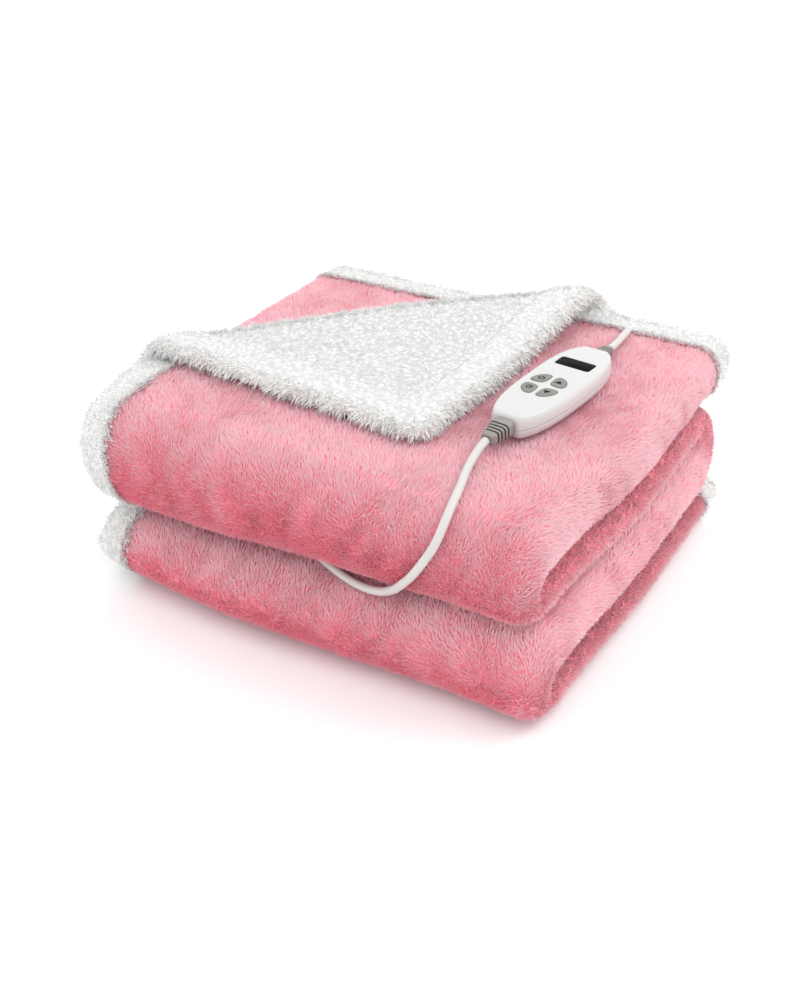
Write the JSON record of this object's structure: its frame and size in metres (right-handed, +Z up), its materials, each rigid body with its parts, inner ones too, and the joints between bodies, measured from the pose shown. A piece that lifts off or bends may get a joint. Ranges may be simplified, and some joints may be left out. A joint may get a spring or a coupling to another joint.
{
  "type": "electric heated throw blanket",
  "caption": "Folded plush and sherpa electric throw with one corner turned back, its hand controller lying on top and its mains lead tucked away behind",
  "frame": {"origin": "middle of the base of the folded throw's bounding box, on the surface it rests on, measured without the mains lead, its coil and its plug", "axes": "+X runs along the front rolls to the right as seen from the front and is the longest extent, -Y is the front with the two rolls, +Z is up"},
  "size_m": [0.4679, 0.5522, 0.2046],
  "materials": {
    "plush": "short pink pile",
    "sherpa": "curly white pile",
    "shell": "gloss",
    "display": "gloss",
    "key": "satin",
    "rubber": "matte",
    "lead": "satin",
    "blade": "polished"
  },
  "bodies": {
    "throw": {"plush_face": "plush", "sherpa_backing": "sherpa", "controller_cover": "shell", "controller_base": "shell", "display_window": "display", "relief_front": "rubber", "relief_rear": "rubber", "lead_short": "lead", "mains_run": "lead", "mains_coil": "lead", "mains_tail": "lead", "coil_tie": "rubber", "plug_body": "lead", "plug_blade_1": "blade", "plug_blade_2": "blade"},
    "press_power": {"key_power": "key"},
    "press_up": {"key_up": "key"},
    "press_down": {"key_down": "key"},
    "press_timer": {"key_timer": "key"}
  },
  "joints": [
    {"name": "slide_power", "type": "slide", "parent": "throw", "child": "press_power", "axis": [0, 0, -1], "range_m": [0, 0.0008], "stiffness_N_per_m": 1500},
    {"name": "slide_up", "type": "slide", "parent": "throw", "child": "press_up", "axis": [0, 0, -1], "range_m": [0, 0.0008], "stiffness_N_per_m": 1500},
    {"name": "slide_down", "type": "slide", "parent": "throw", "child": "press_down", "axis": [0, 0, -1], "range_m": [0, 0.0008], "stiffness_N_per_m": 1500},
    {"name": "slide_timer", "type": "slide", "parent": "throw", "child": "press_timer", "axis": [0, 0, -1], "range_m": [0, 0.0008], "stiffness_N_per_m": 1500}
  ]
}
